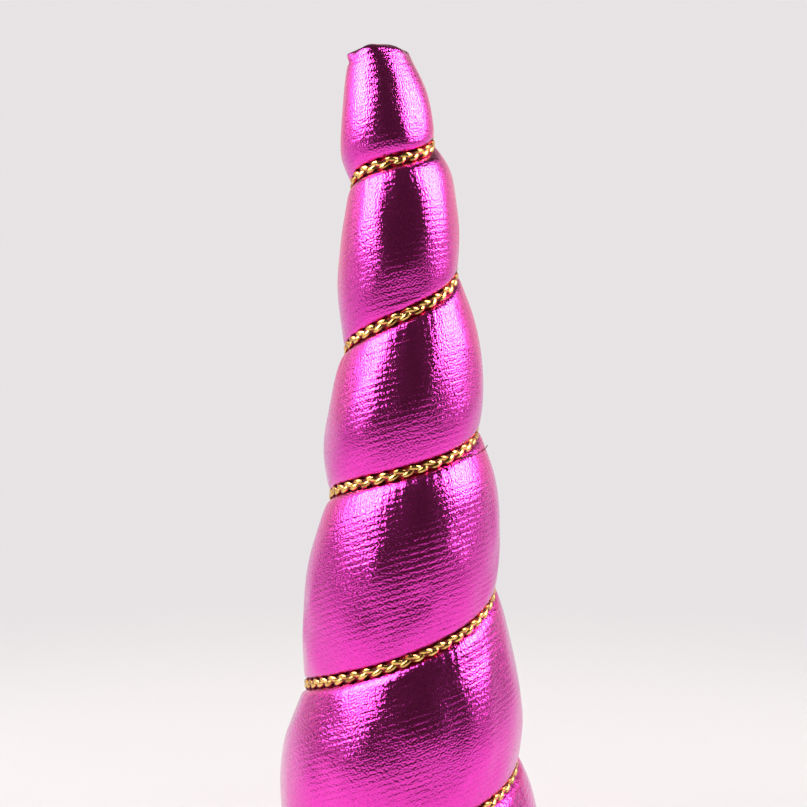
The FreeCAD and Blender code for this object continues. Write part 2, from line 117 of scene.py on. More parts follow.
# ---- Blender's own detail ----
FIRST_TURN = -1.25            # the sheet starts above the tip and ends below the foot, and is cut there
LAST_TURN = 6.5
SHEET_ROUND = 264             # quads for each turn of the cover
SHEET_ACROSS = 56             # quads between two wraps
PUCKER_PITCH = 1.05
PUCKER_DEPTH = 0.07
PUCKER_REACH_BELOW = 1.1      # how far from the wrap a gather is deepest, below it
PUCKER_REACH_ABOVE = 0.6
PUCKER_SHARE_ABOVE = 0.4      # depth of the gathers above a wrap, as a share of those below it
PUCKER_LOSS = 0.75            # share of the depth lost towards the tip
PUCKER_ONSET_TURNS = 0.05     # turns over which they set in and ease off at the cord's ends
RIB_PITCH = 0.88
GRAIN_PITCH = 0.33
RIB_SLANT_FOOT = 19.0         # degrees that the knit's ribs climb to the right at the front
RIB_SLANT_TIP = 8.0
CORD_STEP = 0.28
PLAIT_LENGTH = 6.2
STRAND_SWING = 0.42
STRAND_LIFT = 0.19
STRAND_WIDTH = 0.33
STRAND_THICKNESS = 0.23
STRAND_SIDES = 10
# sizes of the dark tube inside the plait, painted shade between the strands
SHADE_CORE_HALF_WIDTH = 0.429
SHADE_CORE_HALF_THICKNESS = 0.264
THREAD_RADIUS = 0.125
SEAM_STITCH_PITCH = 2.6
SEAM_STITCH_WIDTH = 1.1
TACK_SPACING = 0.7
WHIP_STITCHES = 44
WHIP_STITCH_HEIGHT = 2.2
WHIP_STITCH_REACH = 1.3
WHIP_SLANT = 3.0
LOOSE_THREAD_TURN = 2.50
LOOSE_THREAD_RADIUS = 0.065
CLOTH_ROUND = 96              # quads of the simulated cloth for each turn
CLOTH_ACROSS = 16             # and between two wraps
CLOTH_SCALE = 12.0            # the trial's size over the hat's, because Blender's cloth suits garments
CLOTH_START = 0.25            # how much smaller than the finished cover the trial starts
CLOTH_CAP = 0.15              # the most that a point may move from the cover's own profile
CLOTH_FRAMES = 20
CLOTH_PRESSURE = 4.0
UNEVEN_CUT = 0.035            # how much the slack varies over the cloth
SLACK_PATCH = 6.0             # size of the patches in which it varies
STUFFING_CLEARANCE = 0.75     # from the outside of the cover to the filling
STUFFING_ROUND = 84
STUFFING_ACROSS = 18
TUFT_SIZE = 5.0
TUFT_HEIGHT = 0.7
FELT_VOXEL = 0.40
FELT_FUZZ = 0.10
FELT_LUMPS = ((0.9, 1.0), (0.45, 0.8), (7.0, 0.8))   # size and share of each roughness of the felt

# ---- Stage, light and camera, in metres ----
ROOM_DARK = (0.060, 0.058, 0.035)
ROOM_PALE = (0.92, 0.62, 0.60)
BACKDROP = (0.80, 0.77, 0.785)
LIGHT_AIM = 0.07              # height above the table where the lights point
TABLE_HALF_SIDE = 3000.0      # millimetres
TABLE_FADE_START = 0.10       # from here outward the table turns into the backdrop
TABLE_FADE_END = 0.24
TABLE_EDGE = 0.23             # beyond this, in front, the foil mirrors the dark room and not the table
TABLE_EDGE_FADE = 0.09
PALE_FROM = 0.38              # Y of the direction from which the mirrored room turns pale
PALE_FULL = 0.54
PALE_TOP = 0.65               # Z of the direction under which it does
PALE_FULL_BELOW = 0.25
CAMERA_PLACE = (-0.00077, -0.2079, 0.098)
CAMERA_DOWN = 6.09            # degrees below level
CAMERA_LENS = 66.25           # millimetres, on a sensor 36 wide

rng = np.random.default_rng(7)


def mesh_object(name, points, faces, material, smooth=True):
    """A mesh from points in millimetres."""
    mesh = bpy.data.meshes.new(name)
    mesh.from_pydata([tuple(p) for p in np.asarray(points, float) * MM], [], [tuple(f) for f in faces])
    mesh.polygons.foreach_set("use_smooth", [smooth] * len(mesh.polygons))
    mesh.materials.append(material)
    mesh.update()
    obj = bpy.data.objects.new(name, mesh)
    bpy.context.scene.collection.objects.link(obj)
    return obj


# ---------------------------------------------------------------- shape of the horn

def ease(x):
    x = np.clip(x, 0.0, 1.0)
    return x * x * (3 - 2 * x)


def wrap_heights():
    falls = np.concatenate([[0.0], np.cumsum(WRAP_FALLS)])
    top = TIP_Z - TOP_WRAP_BELOW_TIP
    bottom = FOOT_Z + BOTTOM_WRAP_ABOVE_FELT
    at_end = falls[-2] + (falls[-1] - falls[-2]) * (2 * CORD_END - len(WRAP_FALLS) + 1)
    return top - (top - bottom) / at_end * falls


HEIGHTS = wrap_heights()


def wrap_z(turn):
    """Height of the winding at a turn counted from the tip: the left side at 0, the right at 0.5."""
    x = 2 * np.asarray(turn, float)
    last = len(HEIGHTS) - 1
    i = np.clip(np.floor(x).astype(int), 0, last - 1)
    f = np.clip(x - i, 0.0, 1.0)
    h = np.concatenate([[2 * HEIGHTS[0] - HEIGHTS[1]], HEIGHTS, [2 * HEIGHTS[-1] - HEIGHTS[-2]]])
    slope_a = (h[i + 2] - h[i]) / 2
    slope_b = (h[i + 3] - h[i + 1]) / 2
    z = (h[i + 1] * (2 * f**3 - 3 * f**2 + 1) + slope_a * (f**3 - 2 * f**2 + f)
         + h[i + 2] * (3 * f**2 - 2 * f**3) + slope_b * (f**3 - f**2))
    return z + np.minimum(x, 0) * slope_a + np.maximum(x - last, 0) * slope_b


def axis_x(z):
    t = np.clip((z - FOOT_Z) / LENGTH, 0, 1)
    return -TIP_LEAN * t**LEAN_POWER - SWAY * np.sin(math.pi * np.clip(t / SWAY_SHARE, 0, 1))


def crest_radius(z):
    t = np.clip((z - FOOT_Z) / LENGTH, 0, 1)
    return BASE_RADIUS - (BASE_RADIUS - TIP_RADIUS) * ((1 + FLARE) * t - FLARE * t * t)


def pinch(turn, w):
    """How far the winding pulls the cover in.

    The place is w of the way from the wrap at a turn to the wrap below it.
    """
    z = wrap_z(turn + w)
    t = np.clip((z - FOOT_Z) / LENGTH, 0, 1)
    under = w < 0.5
    nearest = np.where(under, turn, turn + 1)
    away = np.hypot(np.where(under, w, 1 - w), GROOVE_SOFTNESS)
    distance = z - wrap_z(nearest)
    width = np.where(under, GROOVE_WIDTH_BELOW, GROOVE_WIDTH_ABOVE)
    lobe = np.clip(4 * away * (1 - away), 0, 1) ** LOBE_SQUARENESS
    seat = GROOVE_DEPTH * np.exp(-(distance / width) ** 2)
    strength = ease((nearest - GROOVE_ONSET) / GROOVE_ONSET_TURNS)
    strength = strength * ease((CORD_END + GROOVE_RELEASE_TURNS - nearest) / GROOVE_RELEASE_TURNS)
    return (LOBE_DEPTH * (1 - LOBE_DEPTH_LOSS * t) * (1 - lobe) + seat) * strength


def cover_radius(turn, w):
    z = wrap_z(turn + w)
    tuck = BASE_TUCK * np.clip(1 - (z - FOOT_Z) / BASE_TUCK_HEIGHT, 0, 1) ** 2
    below_tip = np.clip(TIP_Z - z, 0, None)
    swelled = TIP_SWELL_SHARE * np.sin(math.pi / 2 * np.clip((below_tip - TIP_NECK) / TIP_SWELL, 0, 1))
    swelled = swelled + (1 - TIP_SWELL_SHARE) * ease((below_tip - TIP_SWELL) / TIP_SWELL_REST)
    narrowing = 1 - TIP_PINCH * (1 - swelled)
    rounding = np.sqrt(1 - (1 - np.clip(below_tip / TIP_ROUNDING, 0, 1)) ** 2)
    return (crest_radius(z) - pinch(turn, w) - tuck) * narrowing * rounding


def ring_point(turn, radius, z):
    a = math.pi - 2 * math.pi * turn
    return np.stack([axis_x(z) + radius * np.cos(a), radius * np.sin(a), z + 0 * a], axis=-1)


def folded_tip(points):
    """Drops the tip's two corners, creases the cover under the left one, and pleats the gathered end."""
    x, y, z = points[..., 0], points[..., 1], points[..., 2]
    sideways = x - axis_x(z)
    near = ease((z - (TIP_Z - FOLD_REACH)) / FOLD_REACH)
    drop = EAR_DROP * ease((-sideways - EAR_START) / EAR_REACH)
    drop = drop + SHOULDER_DROP * ease((sideways - SHOULDER_START) / SHOULDER_REACH)
    angle = np.arctan2(y, sideways)
    uneven = 1.3 * np.sin(2 * angle)
    pleats = PLEAT_DEPTH * np.cos(PLEATS * angle + uneven) * ease((z - (TIP_Z - PLEAT_LENGTH)) / PLEAT_LENGTH)
    left = np.exp(-((np.abs(angle) - math.pi) / EAR_ANGLE) ** 2)
    crease = CREASE_DEPTH * np.exp(-((TIP_Z - z - CREASE_BELOW_TIP) / CREASE_WIDTH) ** 2) * left
    bulge = BULGE_HEIGHT * np.exp(-((TIP_Z - z - BULGE_BELOW_TIP) / BULGE_WIDTH) ** 2) * left
    radius = np.hypot(sideways, y)
    pleats = pleats * np.clip(radius / PLEAT_FADE_RADIUS, 0, 1)
    grow = 1 + (bulge - crease + pleats) / np.maximum(radius, 1.0)
    return np.stack([axis_x(z) + sideways * grow, y * grow, z - drop * near], axis=-1)


def smooth_noise(x, seed):
    """Smooth random curve from -1 to 1 that changes about once a unit."""
    values = np.random.default_rng(seed).uniform(-1, 1, 4096)
    i = np.floor(x).astype(int)
    f = ease(x - i)
    return values[i % len(values)] * (1 - f) + values[(i + 1) % len(values)] * f


def along_cord(turn):
    """Length of cord from turn 0 to a turn."""
    t = np.linspace(-3, 9, 2401)
    p = ring_point(t, crest_radius(wrap_z(t)) - LOBE_DEPTH, wrap_z(t))
    s = np.concatenate([[0], np.cumsum(np.linalg.norm(np.diff(p, axis=0), axis=1))])
    return np.interp(turn, t, s)


def puckers(turn, w):
    """Small gathers that run down from each wrap, and fainter ones above it."""
    z = wrap_z(turn + w)
    under = w < 0.5
    nearest = np.where(under, turn, turn + 1)
    distance = np.abs(z - wrap_z(nearest))
    s = along_cord(nearest) / PUCKER_PITCH
    wander = 0.9 * smooth_noise(s * 0.45, 3)
    fold = np.cos(2 * math.pi * (s + wander)) + 0.5 * np.cos(2 * math.pi * (1.73 * s - wander))
    swell = 0.55 + 0.45 * smooth_noise(s * 0.21, 5)
    reach = np.where(under, PUCKER_REACH_BELOW, PUCKER_REACH_ABOVE) * (1 + 0.4 * smooth_noise(s * 0.6, 8))
    depth = PUCKER_DEPTH * np.where(under, 1.0, PUCKER_SHARE_ABOVE)
    started = ease((nearest - CORD_START) / PUCKER_ONSET_TURNS)
    started = started * ease((CORD_END - nearest) / PUCKER_ONSET_TURNS)
    depth = depth * (1 - PUCKER_LOSS * np.clip((z - FOOT_Z) / LENGTH, 0, 1) ** 2)
    return -depth * swell * fold * (distance / reach) * np.exp(1 - distance / reach) * started


def sheet(name, material, inset=0.0, bottom=FOOT_Z, round_count=SHEET_ROUND, across=SHEET_ACROSS,
          relief=None):
    """The cover, or a layer inside it, as one helical sheet whose mesh lines follow the wraps.

    Each strip runs from one wrap to the next one down, and its last line is the next strip's first.
    Gives the object, its faces, and each point's turn and share of the way to the wrap below.
    """
    n = int((LAST_TURN - FIRST_TURN) * round_count)
    turns = FIRST_TURN + np.arange(n + 1) / round_count
    turn, w = np.meshgrid(turns, strip_rows(across), indexing="ij")
    z = wrap_z(turn + w)
    deep = np.clip(bottom - z, 0, None)
    radius = cover_radius(turn, w) - inset
    if relief:
        radius = radius + relief(turn, w)
    radius = np.where(deep > 0, np.maximum(HEM_INNER_RADIUS, radius - deep), np.maximum(radius, 0.0))
    radius = np.where(z >= TIP_Z - inset, 0.0, radius)
    points = folded_tip(ring_point(turn, radius, np.clip(z, bottom, TIP_Z - inset))).reshape(-1, 3)

    index = np.arange((n + 1) * across).reshape(n + 1, across)
    here = index[:-1]
    ahead = index[1:]
    strips = np.stack([here[:, :-1], here[:, 1:], ahead[:, 1:], ahead[:, :-1]], -1).reshape(-1, 4)
    below = index[round_count:, 0]
    m = len(below) - 1
    joins = np.stack([here[:m, -1], below[:-1], below[1:], ahead[:m, -1]], -1)
    faces = np.concatenate([strips, joins])
    z, radius = z.reshape(-1), radius.reshape(-1)
    on_side = (z[faces].min(1) < TIP_Z - inset) & (z[faces].max(1) > bottom)
    under = (z[faces].max(1) <= bottom) & (radius[faces].max(1) > HEM_INNER_RADIUS + 1e-6)
    faces = faces[on_side | under]
    used, faces = np.unique(faces, return_inverse=True)
    faces = faces.reshape(-1, 4)
    obj = mesh_object(name, points[used], faces, material)
    return obj, faces, turn.reshape(-1)[used], w.reshape(-1)[used]


def applied(obj):
    """Turns an object's modifiers into its mesh."""
    bpy.context.view_layer.update()
    seen = obj.evaluated_get(bpy.context.evaluated_depsgraph_get())
    mesh = bpy.data.meshes.new_from_object(seen)
    obj.modifiers.clear()
    obj.data = mesh


def cloth_swell():
    """How far the filling pushes the cover out between its wraps, simulated on a coarse sheet of cloth.

    The cloth is held at the wraps, the tip and the foot, and its slack varies, so it swells unevenly.
    """
    whole, faces, turn, w = sheet("cloth_pattern", foil, CLOTH_START, FOOT_Z, CLOTH_ROUND, CLOTH_ACROSS)
    z = wrap_z(turn + w)
    kept = (z[faces].max(1) < TIP_Z - FOLD_REACH / 2) & (z[faces].min(1) > FOOT_Z + CORD_RADIUS)
    used, faces = np.unique(faces[kept], return_inverse=True)
    turn, w, z = turn[used], w[used], z[used]
    start = np.array([whole.data.vertices[i].co for i in used]) / MM
    trial = mesh_object("cloth_trial", start * CLOTH_SCALE, faces.reshape(-1, 4)[:, ::-1], foil)
    bpy.data.objects.remove(whole)
    nearest = np.where(w < 0.5, turn, turn + 1)
    wrapped = (nearest > 0) & (nearest < CORD_END)
    held = (np.abs(z - wrap_z(nearest)) < 2 * CORD_RADIUS) & wrapped
    held |= (w == 0) | (z > TIP_Z - FOLD_REACH) | (z < FOOT_Z + 2 * CORD_RADIUS)
    pins = trial.vertex_groups.new(name="held")
    pins.add(np.flatnonzero(held).tolist(), 1.0, "REPLACE")
    slack = trial.vertex_groups.new(name="slack")
    for i, point in enumerate(start):
        slack.add([i], 0.5 + 0.5 * noise.noise(Vector(point / SLACK_PATCH)), "REPLACE")
    cloth = trial.modifiers.new("cloth", "CLOTH")
    cloth.settings.quality = 6
    cloth.settings.mass = 0.2
    cloth.settings.bending_stiffness = 0.3
    cloth.settings.use_pressure = True
    cloth.settings.uniform_pressure_force = CLOTH_PRESSURE
    cloth.settings.effector_weights.gravity = 0
    cloth.settings.vertex_group_mass = "held"
    cloth.settings.vertex_group_shrink = "slack"
    cloth.settings.shrink_min = -UNEVEN_CUT
    cloth.settings.shrink_max = UNEVEN_CUT
    cloth.collision_settings.use_collision = False
    cloth.point_cache.frame_end = CLOTH_FRAMES
    for step in range(1, CLOTH_FRAMES + 1):
        bpy.context.scene.frame_set(step)
    applied(trial)
    moved = np.array([v.co for v in trial.data.vertices]) / MM / CLOTH_SCALE - start
    bpy.data.objects.remove(trial)
    bpy.context.scene.frame_set(1)
    outward = unit((start - np.stack([axis_x(start[:, 2]), 0 * z, start[:, 2]], -1)) * [1, 1, 0])
    return turn, w, np.where(held, 0.0, (moved * outward).sum(-1))


def b_spline(values, at, axis):
    """Cubic B-spline of rows of values, so that the fine mesh takes no edges from the coarse one."""
    base = np.floor(at).astype(int)
    f = at - base
    weights = ((1 - f) ** 3, 3 * f**3 - 6 * f**2 + 4, -3 * f**3 + 3 * f**2 + 3 * f + 1, f**3)
    total = 0
    for k, weight in enumerate(weights):
        index = np.clip(base - 1 + k, 0, values.shape[axis] - 1)
        total = total + weight / 6 * np.take_along_axis(values, index, axis)
    return total


def strip_rows(across):
    """Where the mesh lines of a strip lie between its two wraps, closer together near them."""
    even = np.arange(across) / across
    return 0.55 * even + 0.45 * (0.5 - 0.5 * np.cos(math.pi * even))


def fitted_swell():
    """The unevenness of the cloth's swell over the cover, whose own profile has the average already."""
    turn, w, swell = cloth_swell()
    rows = strip_rows(CLOTH_ACROSS)
    row = np.abs(w[:, None] - rows).argmin(1)
    free = swell != 0
    for k in np.unique(row[free]):
        swell[free & (row == k)] -= swell[free & (row == k)].mean()
    count = int((LAST_TURN - FIRST_TURN) * CLOTH_ROUND) + 1
    grid = np.zeros((count, CLOTH_ACROSS + 1))
    i = np.round((turn - FIRST_TURN) * CLOTH_ROUND).astype(int)
    grid[i, row] = CLOTH_CAP * np.tanh(swell / CLOTH_CAP)

    def relief(turn, w):
        across = np.interp(w[0], np.append(rows, 1.0), np.arange(CLOTH_ACROSS + 1.0))
        lines = b_spline(grid, np.repeat(across[None], count, 0), 1)
        around = (turn - FIRST_TURN) * CLOTH_ROUND
        return b_spline(lines, around, 0)

    return relief


def close_up(obj):
    """Joins the points that meet at the tip and round the hem, and closes the foot."""
    bm = bmesh.new()
    bm.from_mesh(obj.data)
    bmesh.ops.remove_doubles(bm, verts=bm.verts, dist=1e-7)
    rim = [e for e in bm.edges if e.is_boundary]
    bmesh.ops.holes_fill(bm, edges=rim, sides=0)
    bmesh.ops.recalc_face_normals(bm, faces=bm.faces)
    bm.to_mesh(obj.data)
    bm.free()
    obj.data.polygons.foreach_set("use_smooth", [True] * len(obj.data.polygons))


def add_cloth_coordinates(obj, faces, turn, w):
    """UV map "cloth": millimetres along and across the knit's ribs, as they lie on the flat cone pattern."""
    z = wrap_z(turn + w)
    slope = (BASE_RADIUS - TIP_RADIUS) / LENGTH
    apex = TIP_Z + TIP_RADIUS / slope
    reach = (apex - z) * math.hypot(1, slope)
    from_front = (1.5 * math.pi - 2 * math.pi * turn) % (2 * math.pi)
    from_front = np.where(from_front > math.pi, from_front - 2 * math.pi, from_front)
    corners = from_front[faces]
    split = (corners.max(1) - corners.min(1)) > math.pi
    corners = np.where(split[:, None] & (corners < 0), corners + 2 * math.pi, corners)
    spread = corners * slope / math.hypot(1, slope)
    along = reach[faces] * np.sin(spread)
    up = -reach[faces] * np.cos(spread)
    t = np.clip((z[faces] - FOOT_Z) / LENGTH, 0, 1)
    across = up - along * np.tan(np.radians(RIB_SLANT_FOOT + (RIB_SLANT_TIP - RIB_SLANT_FOOT) * t))
    layer = obj.data.uv_layers.new(name="cloth")
    layer.data.foreach_set("uv", np.stack([along, across], -1).reshape(-1).astype(np.float32))


def stuffing_tufts(material):
    """The filling: a coarse lumpy mass that stays inside the cover."""
    def tufts(turn, w):
        z = wrap_z(turn + w)
        around = ring_point(turn, cover_radius(turn, w), z) / TUFT_SIZE
        lumps = [noise.fractal(Vector(p), 1.0, 2.0, 3) for p in around.reshape(-1, 3)]
        return -TUFT_HEIGHT * (0.5 + 0.5 * np.clip(np.array(lumps).reshape(z.shape), -1, 1))

    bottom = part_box("stuffing")[0].z / MM
    filling = sheet("fibre_stuffing", material, STUFFING_CLEARANCE, bottom,
                    STUFFING_ROUND, STUFFING_ACROSS, tufts)[0]
    close_up(filling)
    return filling


def soft_plate(name, node, material):
    """Felt cut to its CAD shape, with edges worn round and faces that are never quite flat."""
    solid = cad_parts[node]
    plate = bpy.data.objects.new(name, solid.data.copy())
    bpy.context.scene.collection.objects.link(plate)
    plate.data.materials.clear()
    plate.data.materials.append(material)
    remesh = plate.modifiers.new("remesh", "REMESH")
    remesh.mode = "VOXEL"
    remesh.voxel_size = FELT_VOXEL * MM
    remesh.use_smooth_shade = True
    soften = plate.modifiers.new("soften", "SMOOTH")
    soften.iterations = 3
    applied(plate)
    for vertex in plate.data.vertices:
        place = vertex.co / MM
        lift = sum(share * noise.noise(place / size) for size, share in FELT_LUMPS)
        vertex.co += vertex.normal * (lift * FELT_FUZZ * MM)
    return plate


# ---------------------------------------------------------------- tubes, for cord and thread

def tube(path, side, out, wide, thick, sides=8):
    """Points and faces of a closed tube round a path, wide along side and thick along out."""
    n = len(path)
    a = np.arange(sides) * 2 * math.pi / sides
    wide = np.broadcast_to(wide, n)[:, None, None]
    thick = np.broadcast_to(thick, n)[:, None, None]
    ring = side[:, None, :] * np.cos(a)[None, :, None] * wide
    ring = ring + out[:, None, :] * np.sin(a)[None, :, None] * thick
    points = (path[:, None, :] + ring).reshape(-1, 3)
    i = np.arange(n - 1)[:, None] * sides
    k = np.arange(sides)[None, :]
    k2 = (k + 1) % sides
    faces = np.stack([i + k, i + sides + k, i + sides + k2, i + k2], -1).reshape(-1, 4).tolist()
    faces.append(list(range(sides)))
    faces.append(list(range((n - 1) * sides, n * sides))[::-1])
    return points, faces


def joined(parts):
    """Several (points, faces) as one."""
    points, faces, start = [], [], 0
    for p, f in parts:
        points.append(p)
        faces += [[v + start for v in face] for face in f]
        start += len(p)
    return np.concatenate(points), faces


def unit(v):
    return v / np.maximum(np.linalg.norm(v, axis=-1, keepdims=True), 1e-12)


def frames_along(path, out_hint):
    """Side and outward directions square to a path."""
    ahead = unit(np.gradient(path, axis=0))
    side = unit(np.cross(ahead, out_hint))
    return side, unit(np.cross(side, ahead))


def cord_height(z):
    """From the cover to the middle of the cord."""
    share = np.clip((z - FOOT_Z) / LENGTH, 0, 1)
    return CORD_RADIUS + CORD_SEAT + (CORD_SEAT_TIP - CORD_SEAT) * share**2


def cord_line(step=CORD_STEP):
    """Centre line of the cord and outward directions, from inside the cover at the top down to the foot."""
    count = int((along_cord(CORD_END) - along_cord(CORD_START)) / step)
    even = np.linspace(along_cord(CORD_START), along_cord(CORD_END), count)
    t = np.linspace(CORD_START, CORD_END, 4000)
    turn = np.interp(even, along_cord(t), t)
    z = wrap_z(turn)
    laid = ring_point(turn, cover_radius(turn, 0 * turn) + cord_height(z), z)
    out = unit(laid - np.stack([axis_x(z), 0 * z, z], -1))
    ahead = unit(laid[0] - laid[1])
    steps = max(4, int(CORD_BEND_RADIUS * math.pi / 2 / step))
    turned = np.linspace(0, math.pi / 2, steps + 1)[1:, None]
    bend = laid[0] + ahead * CORD_BEND_RADIUS * np.sin(turned)
    bend = bend - out[0] * CORD_BEND_RADIUS * (1 - np.cos(turned))
    bend_out = out[0] * np.cos(turned) + ahead * np.sin(turned)
    return np.concatenate([bend[::-1], laid]), np.concatenate([bend_out[::-1], out])


def braided_cord(material):
    """Three flattened strands, plaited flat: each swings from edge to edge, over and under the others."""
    path, out = cord_line()
    side, out = frames_along(path, out)
    s = np.concatenate([[0], np.cumsum(np.linalg.norm(np.diff(path, axis=0), axis=1))])
    parts, crowns = [], []
    for k in range(3):
        phase = 2 * math.pi * (s / PLAIT_LENGTH + k / 3)
        jitter = 1 + 0.10 * smooth_noise(s / 3.1 + 40 * k, 11 + k)
        swing = STRAND_SWING * np.sin(phase)
        lift = STRAND_LIFT * np.sin(2 * phase)
        line = path + side * (swing * jitter)[:, None] + out * (lift * jitter)[:, None]
        strand_side, strand_out = frames_along(line, out)
        fat = 1 + 0.26 * np.sin(2 * phase) + 0.08 * smooth_noise(s / 1.3 + 9 * k, 21 + k)
        width, thickness = STRAND_WIDTH * fat, STRAND_THICKNESS * fat
        points, faces = tube(line, strand_side, strand_out, width, thickness, STRAND_SIDES)
        parts.append((points, faces))
        from_middle = points.reshape(-1, STRAND_SIDES, 3) - path[:, None]
        proud = (from_middle * out[:, None]).sum(-1)
        aside = np.abs((from_middle * side[:, None]).sum(-1))
        crowns.append((proud - 0.3 * aside).reshape(-1))
    obj = mesh_object("gold_braided_cord", *joined(parts), material)
    crown = obj.data.attributes.new("crown", "FLOAT", "POINT")
    crown.data.foreach_set("value", np.concatenate(crowns))
    return obj


def painted_shade_core(material):
    """A dark tube inside the plait: painted shade that shows between the strands."""
    path, out = cord_line(2 * CORD_STEP)
    side, out = frames_along(path, out)
    return mesh_object("painted_shade_core", *tube(path, side, out, SHADE_CORE_HALF_WIDTH, SHADE_CORE_HALF_THICKNESS), material)


def thread_arc(start, end, out, height, radius=THREAD_RADIUS, steps=7):
    """A stitch: a short thread that rises from the cloth and dives in again."""
    start, end, out = (np.asarray(v, float) for v in (start, end, out))
    t = np.linspace(0, 1, steps)[:, None]
    rise = height * np.sin(math.pi * t) - radius * 1.2 * np.cos(math.pi * t) ** 8
    path = start * (1 - t) + end * t + out * rise
    hint = np.repeat(unit(out)[None], steps, 0)
    side, up = frames_along(path, hint)
    fat = radius * (0.75 + 0.25 * np.sin(math.pi * t[:, 0]))
    return tube(path, side, up, fat, fat, 8)


def cover_at(angle, z, out=0.0):
    """Point on the Blender cover at an angle in degrees and a height, and the outward direction there."""
    turn_low = (180.0 - angle) / 360.0
    turns = np.linspace(-1.0, 6.5, 7501)
    total = np.interp(-z, -wrap_z(turns), turns)
    k = math.floor(total - turn_low)
    turn = turn_low + k
    w = total - turn
    radius = float(cover_radius(np.array(turn), np.array(w))) + out
    a = math.radians(angle)
    outward = np.array([math.cos(a), math.sin(a), 0.0])
    return np.array([float(axis_x(z)), 0.0, z]) + radius * outward, outward


def distance_to_wrap(angle, z):
    turn_low = (180.0 - angle) / 360.0
    wraps = wrap_z(turn_low + np.arange(0, 6))
    return float(np.min(np.abs(wraps - z)))


def seam_thread(material):
    """Ladder stitches down the back seam."""
    parts = []
    z = FOOT_Z + BASE_TUCK_HEIGHT
    while z < TIP_Z - 2 * TIP_ROUNDING:
        middle, out = cover_at(90.0, z)
        if distance_to_wrap(90.0, z) > CORD_RADIUS + 4 * THREAD_RADIUS:
            lean = rng.uniform(-0.12, 0.12)
            half = np.array([SEAM_STITCH_WIDTH / 2, 0, lean])
            parts.append(thread_arc(middle - half, middle + half, out, THREAD_RADIUS))
        z += SEAM_STITCH_PITCH
    return mesh_object("back_seam_stitches", *joined(parts), material)


def tack_thread(name, turn, material):
    """Stitches over the cord, near one of its ends."""
    parts = []
    for i in range(3):
        here = turn + (i - 1) * TACK_SPACING / (2 * math.pi * float(crest_radius(wrap_z(turn))))
        t = np.array([here - 1e-3, here, here + 1e-3])
        z = wrap_z(t)
        p = ring_point(t, cover_radius(t, 0 * t) + cord_height(z), z)
        ahead = unit(p[2] - p[0])
        out = unit(p[1] - np.array([axis_x(z[1]), 0, z[1]]))
        side = np.cross(ahead, out)
        slant = ahead * rng.uniform(-0.15, 0.15)
        a = np.linspace(-1.25, 1.25, 9)[:, None]
        reach = CORD_RADIUS + 0.5 * THREAD_RADIUS
        path = p[1] + (side * np.sin(a) + out * np.cos(a) * 0.85) * reach + slant * a
        s2, o2 = frames_along(path, side * np.sin(a) + out * np.cos(a))
        parts.append(tube(path, s2, o2, THREAD_RADIUS, THREAD_RADIUS, 8))
    return mesh_object(name, *joined(parts), material)


def foot_thread(material):
    """Whip stitches from the cover down to the felt, with the small unevenness of handwork."""
    parts = []
    for i in range(WHIP_STITCHES):
        angle = 360.0 * (i + 0.5 + rng.uniform(-0.12, 0.12)) / WHIP_STITCHES
        top_z = FOOT_Z + WHIP_STITCH_HEIGHT * rng.uniform(0.88, 1.1)
        top, out = cover_at(angle, top_z)
        reach = WHIP_STITCH_REACH * rng.uniform(0.9, 1.1)
        foot = cover_at(angle + WHIP_SLANT, FOOT_Z + WHIP_STITCH_HEIGHT, reach)[0]
        foot[2] = FOOT_Z
        if distance_to_wrap(angle, top_z) < CORD_RADIUS + 2 * THREAD_RADIUS:
            continue
        parts.append(thread_arc(top, foot, unit(out + np.array([0, 0, 1.0])), 0.35, steps=9))
    return mesh_object("foot_whip_stitches", *joined(parts), material)


def loose_thread(dark):
    """One thread end that stands off the cover beside the cord."""
    t = np.linspace(0, 1, 14)
    turns = LOOSE_THREAD_TURN + 0.125 * (1 - t)
    z = wrap_z(turns) - (0.8 + 1.6 * t)
    lift = 0.04 + 0.10 * np.sin(math.pi * t) + 0.35 * t ** 4
    angles = (180 - 360 * turns) % 360
    path = np.array([cover_at(float(a), float(h), float(up))[0] for a, h, up in zip(angles, z, lift)])
    side, out = frames_along(path, unit(path * [1, 1, 0]))
    strand = tube(path, side, out, LOOSE_THREAD_RADIUS, LOOSE_THREAD_RADIUS, 6)
    return mesh_object("loose_thread_end", *strand, dark)


# ---------------------------------------------------------------- materials

